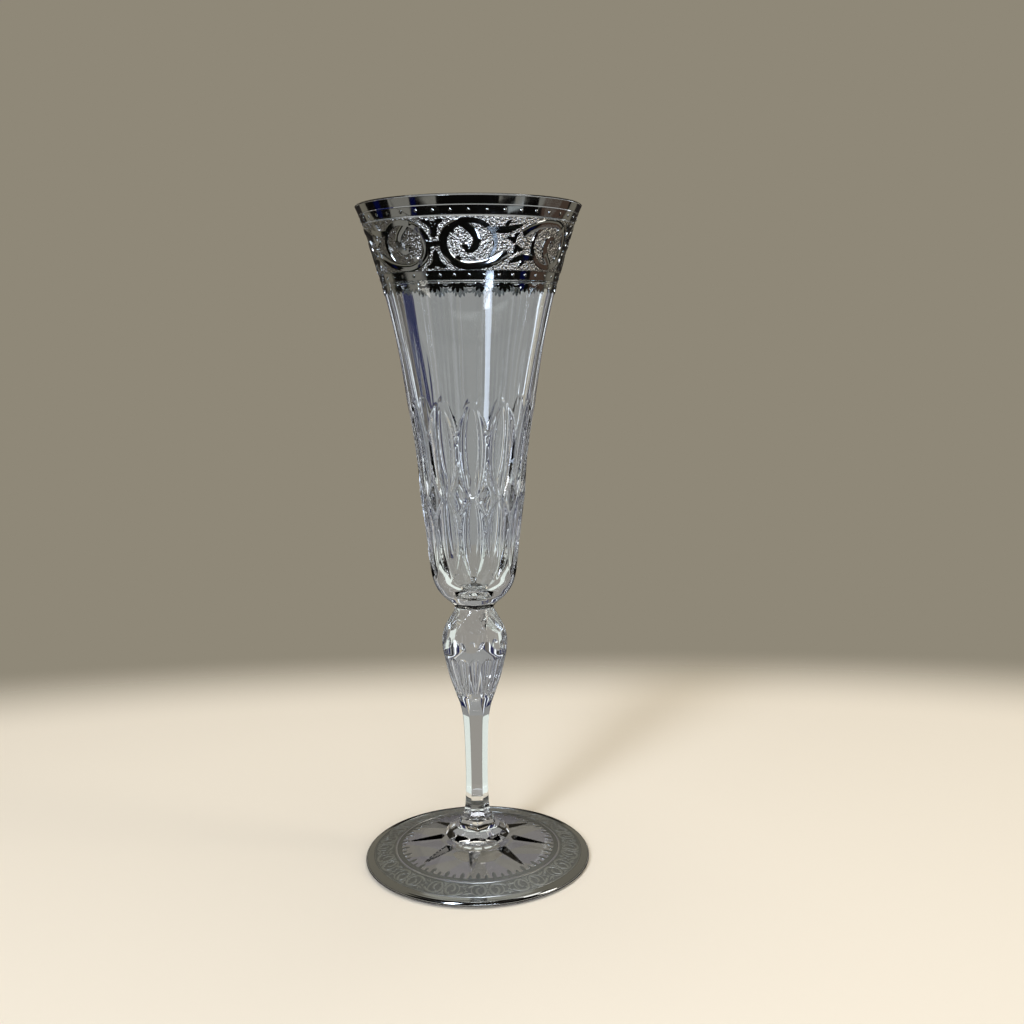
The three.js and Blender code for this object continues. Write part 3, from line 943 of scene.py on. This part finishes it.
@dataclass
class BowlPlatinum:
    """The five platinum bands on the bowl, from the lip down."""

    shape: GlassShape
    film: Film
    beads: int = 40
    bead_radius: float = 0.58
    quarters: int = 4
    palmettes: int = 24
    lip_spread: float = 0.1  # how far a band reaches past its CAD node, for a hair's overlap
    rail_spread: float = 0.08
    frieze_spread: float = 0.2
    fillet_inset: float = 0.12
    fillet_half_width: float = 0.14
    fringe_lines: tuple[Pair, ...] = ((-0.32, 0.0), (-0.95, -0.62))

    def span(self, node: str) -> Pair:
        """The lowest and highest points of a band's CAD node."""
        low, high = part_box(node)
        return low[2] / MM, high[2] / MM

    def wall(self, node: str) -> tuple[Ornament, float]:
        """The wall unrolled about a band's middle, and half the band's width along the wall."""
        low, high = self.span(node)
        middle = (low + high) / 2
        half = (high - low) / 2 / math.cos(self.shape.bowl.slope(middle))
        return Ornament(BowlWall(self.shape, middle)), half

    def lip(self, material: Material) -> Piece:
        """The plain mirror band under the lip."""
        work, half = self.wall("lip_band")
        work.band(-half - self.lip_spread, half, self.film.gap, self.film.face)
        return work.build("platinum_lip_band", material)

    def rail(self, node: str, material: Material) -> Piece:
        """A mirror rail between two raised fillets, with a string of round beads along it."""
        work, half = self.wall(node)
        film = self.film
        work.band(-half - self.rail_spread, half + self.rail_spread, film.gap, film.face)
        for edge in (-1, 1):
            middle, reach = edge * (half - self.fillet_inset), self.fillet_half_width
            work.band(middle - reach, middle + reach, film.face - film.fillet_bite, film.fillet)
        pitch = 2 * math.pi * work.surface.reference / self.beads
        for bead in range(self.beads):
            work.bead(bead * pitch, 0.0, self.bead_radius, film.face - film.bite, film.bead)
        return work.build(f"platinum_{node}", material)

    def frieze(self, ground: Material, polished: Material) -> list[Piece]:
        """The etched ground, and the scrolls in relief on it."""
        work, half = self.wall("scroll_frieze")
        scrolls, film = Ornament(work.surface), self.film
        work.band(-half - self.frieze_spread, half + self.frieze_spread, film.gap, film.face)
        foot = film.face - film.bite
        pattern = ScrollPattern(2 * math.pi * work.surface.reference / self.quarters)
        pattern.lay(scrolls, self.quarters, (1, 2 * half / pattern.band), (foot, film.relief))
        for quarter in range(self.quarters):
            for along, up, radius in pattern.bulbs():
                place = quarter * pattern.length + along
                scrolls.bead(place, (-1) ** quarter * up, radius, foot, film.bulb)
        ground_piece = work.build("platinum_frieze_ground", ground)
        return [ground_piece, scrolls.build("platinum_frieze_scrolls", polished)]

    def fringe(self, material: Material) -> Piece:
        """Two fine lines and the palmettes that hang from them."""
        low, high = self.span("palmette_fringe")
        work = Ornament(BowlWall(self.shape, high))
        gap = self.film.gap
        for bottom, top in self.fringe_lines:
            work.band(bottom, top, gap, self.film.face)
        pitch = 2 * math.pi * work.surface.reference / self.palmettes
        drop = (high - low) / math.cos(self.shape.bowl.slope(low)) - 1.5
        motif = [leaf((0, 0.1), (0, -drop), 1.5)]
        for hand in (-1, 1):
            motif.append(leaf((hand * 0.2, -0.3), (hand * 1.7, -0.86 * drop), 1.15, hand * 0.12))
            motif.append(leaf((hand * 0.4, -0.1), (hand * 2.6, -0.5 * drop), 1.0, hand * 0.2))
        motif.append(tapered(arc((pitch / 2, 0.1), (1.15, 1.0), 190, 350), 0.4, 0.7, 0.4))
        for palmette in range(self.palmettes):
            for stroke in motif:
                work.stroke(stroke.moved((palmette + 0.5) * pitch, -0.85), gap, gap + 0.2)
        return work.build("platinum_palmette_fringe", material)


@dataclass
class FootPlatinum:
    """The platinum on the foot: mirror edge, etched frieze, fine rings and a fringe of leaves."""

    foot: Foot
    film: Film
    quarters: int = 14
    leaves: int = 60
    frieze_inner: float = 28.4
    frieze_outer: float = 35.9
    scroll_share: float = 0.84  # of the frieze's width
    stroke_thinning: float = 0.3
    ring_insets: Pair = (0.2, 0.25)
    ring_half_width: float = 0.12
    fringe_radius: float = 27.0
    fringe_ring: Pair = (-0.7, 0.9)
    fringe_leaves: tuple[Pair, Pair] = ((-3.4, 1.5), (-2.3, 1.1))  # tip and width, of long and short

    def edge(self, material: Material) -> Piece:
        """The mirror band that turns over the foot's edge."""
        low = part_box("foot_edge_band")[0][2] / MM
        turn = np.linspace(0.5, -0.02, 12) * math.pi
        flat = np.linspace(self.frieze_outer, 37.3, 6)
        skins = []
        for off in (self.film.gap, self.film.face):
            radii, heights = self.foot.edge(turn, off)
            heights = np.concatenate([self.foot.top(flat) + off, heights])
            skins.append(ring_points(np.concatenate([flat, radii]), np.maximum(heights, min(low, 0.9))))
        draft = Draft()
        draft.grid(np.concatenate([skins[0], skins[1][::-1]]), wrap_rows=True)
        return draft.build("platinum_foot_edge_band", material)

    def frieze(self, ground: Material, polished: Material) -> list[Piece]:
        """The etched frieze, with a low running scroll and a fine ring at each side of it."""
        surface = FootTop(self.foot, (self.frieze_inner + self.frieze_outer) / 2)
        half = (self.frieze_outer - self.frieze_inner) / 2
        face = self.film.foot_face
        foot = face - self.film.fillet_bite
        work, scrolls = Ornament(surface), Ornament(surface)
        work.band(-half, half, self.film.gap, face)
        pattern = ScrollPattern(50.0)
        along = 2 * math.pi * surface.reference / self.quarters / pattern.length
        scale = (along, self.scroll_share * 2 * half / pattern.band)
        pattern.lay(scrolls, self.quarters, scale, (foot, face + 0.04), self.stroke_thinning)
        for middle in (self.ring_insets[0] - half, half - self.ring_insets[1]):
            scrolls.band(middle - self.ring_half_width, middle + self.ring_half_width, foot, face + 0.08)
        ground_piece = work.build("platinum_foot_frieze_ground", ground)
        return [ground_piece, scrolls.build("platinum_foot_frieze_scrolls", polished)]

    def fringe(self, ground: Material) -> Piece:
        """A narrow ring with long and short leaves in turn, pointing at the stem."""
        work = Ornament(FootTop(self.foot, self.fringe_radius))
        gap, face = self.film.gap, self.film.foot_face
        work.band(*self.fringe_ring, gap, face)
        pitch = 2 * math.pi * self.fringe_radius / self.leaves
        for place in range(self.leaves):
            tip, width = self.fringe_leaves[place % 2]
            work.stroke(leaf((0, -0.4), (0, tip), width).moved(place * pitch), gap, face)
        return work.build("platinum_foot_leaf_fringe", ground)


# ---- Studio ----


@dataclass
class Viewpoint:
    """A camera a little above the middle of the flute, with the slight tilt of a hand-held one."""

    place_mm: Triple = (0.0, -380.2, 178.3)
    lens_mm: float = 40.556
    sensor_mm: float = 36.0
    pitch: float = math.radians(8.586)
    yaw: float = math.radians(1.957)
    roll: float = math.radians(-0.55)

    def build(self) -> None:
        """Makes the camera and sets it as the scene's."""
        data = bpy.data.cameras.new("viewpoint")
        data.sensor_width, data.lens, data.clip_start = self.sensor_mm, self.lens_mm, 0.01
        camera = bpy.data.objects.new("viewpoint", data)
        bpy.context.scene.collection.objects.link(camera)
        turns = ((-self.yaw, "Z"), (math.pi / 2 - self.pitch, "X"), (self.roll, "Z"))
        yaw, pitch, roll = (Matrix.Rotation(angle, 4, axis) for angle, axis in turns)
        camera.matrix_world = Matrix.Translation(Vector(self.place_mm) * MM) @ yaw @ pitch @ roll
        bpy.context.scene.camera = camera


@dataclass(frozen=True)
class Lamp:
    """A soft rectangular lamp aimed at the middle of the flute, with its place and size in metres."""

    name: str
    place: Triple
    size: Pair
    watts: float
    colour: str
    through_glass: bool = True  # whether its shape shows through the glass
    aim: Triple = (0.0, 0.0, 0.12)

    def build(self) -> None:
        """Hangs the lamp, which is never seen directly."""
        data = bpy.data.lights.new(self.name, "AREA")
        data.shape, data.energy, data.color = "RECTANGLE", self.watts, srgb(self.colour)[:3]
        data.size, data.size_y = self.size
        lamp = bpy.data.objects.new(self.name, data)
        lamp.visible_camera, lamp.visible_transmission = False, self.through_glass
        turn = (Vector(self.aim) - Vector(self.place)).to_track_quat("-Z", "Y").to_matrix().to_4x4()
        lamp.matrix_world = Matrix.Translation(self.place) @ turn
        bpy.context.scene.collection.objects.link(lamp)


class SeenBy(Enum):
    """The light that a card is there for: mirrored off a surface, or bent through the glass."""

    MIRROR = "mirror"
    GLASS = "glass"


@dataclass(frozen=True)
class Card:
    """A plain card that stands in for the rest of the room. It is part of a ring about the flute.

    Its azimuth is in degrees from the front towards the right, and its two edges are given as a
    radius and a height in millimetres.
    """

    name: str
    colour: str
    azimuth: float
    half_width: float
    near: Pair
    far: Pair
    strength: float = 1.0
    seen_by: SeenBy = SeenBy.MIRROR

    def build(self) -> None:
        """Makes the card, which the camera and the table never see."""
        columns = max(3, round(self.half_width / 3))
        turn = np.radians(self.azimuth + np.linspace(-self.half_width, self.half_width, columns))
        edges = (self.near, self.far)
        rows = [turned_points(radius, turn, np.full(columns, height)) for radius, height in edges]
        draft = Draft()
        draft.grid(np.stack(rows), wrap_columns=False)
        material, tree = new_material(self.name)
        tree.surface("Emission", {"Color": srgb(self.colour), "Strength": self.strength})
        card = draft.build(self.name, material)
        card.visible_camera = card.visible_diffuse = card.visible_shadow = False
        card.visible_glossy = self.seen_by is SeenBy.MIRROR
        card.visible_transmission = self.seen_by is SeenBy.GLASS


@dataclass
class Studio:
    """A pale table, a plain wall colour all round, soft lamps, and cards for the glass to show."""

    wall: str = "#8F8878"
    table: str = "#EDE5D7"
    table_radius: float = 640.0
    table_edge: Pair = (0.165, 0.27)  # where the table begins to fade and where it has gone, in metres
    table_depth_share: float = 0.45
    lamps: tuple[Lamp, ...] = (
        Lamp("window", (-0.55, -1.0, 0.85), (0.22, 0.9), 12.0, "#EAF2FF"),
        Lamp("low_front", (0.12, -1.1, 0.2), (0.5, 0.25), 6.5, "#F4F8FF", through_glass=False),
        Lamp("overhead", (0.2, 0.1, 1.3), (1.0, 1.0), 8.0, "#FFF9F0"),
        Lamp("side_fill", (1.1, -0.3, 0.5), (0.3, 0.8), 3.5, "#FFF6E8"),
    )

    def world(self) -> None:
        """A plain warm grey all round."""
        world = bpy.data.worlds.new("studio")
        tree = NodeTree(world)
        light = tree.add("Background", {"Color": srgb(self.wall), "Strength": 1.0})
        tree.add("OutputWorld", {"Surface": light.outputs[0]})
        bpy.context.scene.world = world
        bpy.context.scene.view_settings.view_transform = "Standard"

    def floor(self) -> None:
        """An oval pale table top whose edge fades into the wall colour."""
        draft = Draft()
        radii, angle = np.linspace(self.table_radius, 10, 16), full_turn(96)
        flat = np.full((len(radii), len(angle)), -0.05)
        rings = [np.outer(radii, np.cos(angle)), np.outer(radii, np.sin(angle)), flat]
        draft.grid(np.stack(rings, axis=-1))
        draft.face(range(draft.count - len(angle), draft.count))
        material, tree = new_material("pale_table")
        paint = tree.add("BsdfPrincipled", {"Base Color": srgb(self.table), "Roughness": 0.7})
        squash = {0: tree.place, 1: (self.table_depth_share, 1.0, 1.0)}
        oval = tree.add("VectorMath", squash, operation="MULTIPLY")
        reach = tree.add("VectorMath", {0: oval.outputs[0]}, operation="LENGTH").outputs["Value"]
        span = {"Value": reach, "From Min": self.table_edge[0], "From Max": self.table_edge[1]}
        fade = tree.add("MapRange", span, interpolation_type="SMOOTHSTEP").outputs[0]
        away = tree.add("BsdfTransparent").outputs[0]
        tree.surface("MixShader", {0: fade, 1: paint.outputs[0], 2: away})
        draft.build("table_top", material)

    def mirrored_room(self) -> None:
        """What the platinum and the outside of the bowl mirror: a dark room with a few pale patches."""
        dark, pale, navy, brown = "#12100E", "#A09B90", "#0A1040", "#5F4C40"
        cards = [
            Card("dark_room", dark, 0, 180, (44, 3), (900, 3)),
            Card("pale_wall", "#C6C2B4", 180, 13, (1500, 1000), (1500, 2000)),
            Card("dark_ceiling", dark, 0, 180, (900, 1250), (1, 1250)),
            Card("dark_skirting", "#2E2A27", 0, 180, (1600, 3), (1600, 285)),
            Card("dark_end_of_room", dark, 0, 75, (1590, 3), (1590, 2000)),
            Card("brown_patch", brown, 104, 20, (420, 5), (850, 5)),
            Card("contact_shadow", dark, 0, 180, (39.2, 0.15), (44, 0.15)),
        ]
        patches = [
            (pale, -83, 18, 290, 425), (navy, -61, 3, 285, 480), (pale, -46, 11, 262, 312),
            (navy, -108, 4, 500, 700), (pale, -74, 17, 430, 600), (pale, 42, 9, 262, 290),
            (pale, 62, 11, 298, 335), ("#C4C8C6", 52, 9, 322, 362),
        ]
        for half, window_strength in enumerate((10.0, 5.0)):
            for number, (colour, azimuth, half_width, near, far) in enumerate(patches):
                name = f"room_patch_{180 * half}_{number}"
                cards.append(Card(name, colour, azimuth + 180 * half, half_width, (near, 5), (far, 5)))
            strip = ("#D8E8FF", 25.6 + 180 * half, 5.0, (416, 7), (800, 7), window_strength)
            cards.append(Card(f"window_strip_{half}", *strip))
        for card in cards:
            card.build()

    def bent_room(self) -> None:
        """What the cuts, the knop and the stem bend into view: uprights, and table in shade and light."""
        navy, black, bright, taupe, sand = "#10164A", "#17171A", "#F4F8FF", "#69625A", "#C9BEA9"
        uprights = [
            (190.5, 1.3, navy, 1.0, 270), (194.6, 2.6, taupe, 1.0, 270), (198.6, 0.7, bright, 1.6, 270),
            (202.5, 2.6, navy, 1.0, 270), (208, 1.3, bright, 1.5, 230), (214, 2.2, black, 1.0, 210),
            (221, 2.4, navy, 1.0, 230), (166, 0.7, bright, 1.5, 270), (162.5, 1.8, sand, 1.0, 270),
            (158, 1.8, navy, 1.0, 270), (153, 1.3, bright, 1.5, 230), (147, 2.4, black, 1.0, 210),
            (139, 2.2, navy, 1.0, 230),
        ]
        cards: list[tuple] = []
        for quarter in range(4):
            for number, (azimuth, half_width, colour, strength, top) in enumerate(uprights):
                place = (azimuth + 90 * quarter, half_width, (280, 2), (280, top))
                cards.append((f"upright_{quarter}_{number}", colour, *place, strength))
            shade, light = 186 + 90 * quarter, 141 + 90 * quarter
            cards.append((f"shaded_table_{quarter}", "#9C9790", shade, 35, (46, 1), (420, 1), 1.0))
            cards.append((f"lit_table_{quarter}", "#EEF4EC", light, 10, (46, 1), (420, 1), 1.05))
            for side in (203, 153):
                patch = (side + 90 * quarter, 4, (250, 1.5), (420, 1.5), 1.2)
                cards.append((f"lit_patch_{quarter}_{side}", "#F6FAF8", *patch))
        # mid-grey cards under the foot, seen only through the glass: painted shade of the table in the
        # foot's shadow
        for sector in range(16):
            tone = ("#94918C", "#8F8C91")[sector % 2]
            cards.append((f"under_foot_{sector}", tone, 22.5 * sector, 11.3, (8, 0.3), (36, 0.3), 1.0))
        for sector in range(12):
            pool = (30 * sector, 11, (1, 3.3), (7.6, 3.25), 1.5)
            cards.append((f"pool_of_light_{sector}", "#F2F8F4", *pool))
        cards.append(("daylit_wall", "#9A9997", 0, 180, (950, -900), (950, 1500), 1.0))
        for card in cards:
            Card(*card, SeenBy.GLASS).build()

    def build(self) -> None:
        """Sets up the whole studio."""
        self.world()
        self.floor()
        for lamp in self.lamps:
            lamp.build()
        self.mirrored_room()
        self.bent_room()


# ---- The flute ----


def join_frame(piece: Piece, slot: str, *nodes: str) -> None:
    """Ties a finished piece to the CAD model: its body and the nodes it stands for."""
    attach(piece, BODY)
    if nodes:
        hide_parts(*nodes)
    LOG.info("%s stands for %s", piece.name, ", ".join(nodes) or "no node of its own")


def build_glass(shape: GlassShape) -> Foot:
    """Makes the six glass pieces, and returns the foot, which carries platinum."""
    fused = FusedFace().material()
    crystal = [LeadCrystal("lead_crystal").material(), fused]
    # dark glass for the foot's wedge cuts: painted shade where the cuts turn the light away
    painted_cut_shade = LeadCrystal("lead_crystal_painted_cut_shade", "#3C3C3A").material()
    # the foot's grey tint is painted shade, for the table in shadow under the foot
    shaded_foot_crystal = [LeadCrystal("lead_crystal_foot_painted_shade", "#CCCCC9").material(), fused, painted_cut_shade]
    stem_cuts = StemCuts(shape)
    stem = Stem(shape, stem_cuts)
    collar = Collar(shape, stem)
    join_frame(Bowl(shape).build(crystal), "crystal", "bowl")
    join_frame(NeckRing(shape).build(crystal), "crystal", "neck_ring")
    join_frame(Knop(shape, stem_cuts).build(crystal), "crystal", "knop")
    join_frame(stem.build(crystal), "crystal", "stem")
    join_frame(collar.build(crystal), "crystal", "collar")
    foot = Foot(shape, collar)
    join_frame(foot.build(shaded_foot_crystal), "crystal_foot", "foot")
    return foot


def build_platinum(shape: GlassShape, foot: Foot) -> None:
    """Makes the platinum bands on the bowl and the foot."""
    polished = PolishedPlatinum().material()
    etched = EtchedPlatinum("etched_platinum").material()
    foot_etched = EtchedPlatinum("etched_platinum_foot", "#A1A6AA", "#787C80", 0.3, 0.7, 0.05).material()
    foot_satin = PolishedPlatinum("satin_platinum", "#AFB4B6", 0.28, 0.1).material()
    bands, foot_bands = BowlPlatinum(shape, Film()), FootPlatinum(foot, Film())
    join_frame(bands.lip(polished), "platinum_polished", "lip_band")
    for node in ("upper_beaded_rail", "lower_beaded_rail"):
        join_frame(bands.rail(node, polished), "platinum_polished", node)
    ground, scrolls = bands.frieze(etched, polished)
    join_frame(ground, "platinum_etched", "scroll_frieze")
    join_frame(scrolls, "platinum_polished")
    join_frame(bands.fringe(polished), "platinum_etched", "palmette_fringe")
    join_frame(foot_bands.edge(polished), "platinum_polished", "foot_edge_band")
    ground, scrolls = foot_bands.frieze(foot_etched, foot_satin)
    join_frame(ground, "platinum_etched", "foot_scroll_frieze")
    join_frame(scrolls, "platinum_polished")
    join_frame(foot_bands.fringe(foot_etched), "platinum_etched", "foot_leaf_fringe")


def main() -> None:
    """Builds the flute round the CAD frame."""
    logging.basicConfig(level=logging.INFO, format="%(name)s: %(message)s")
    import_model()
    Viewpoint().build()
    shape = GlassShape.from_frame()
    foot = build_glass(shape)
    build_platinum(shape, foot)
    Studio().build()


if __name__ == "__main__":
    main()
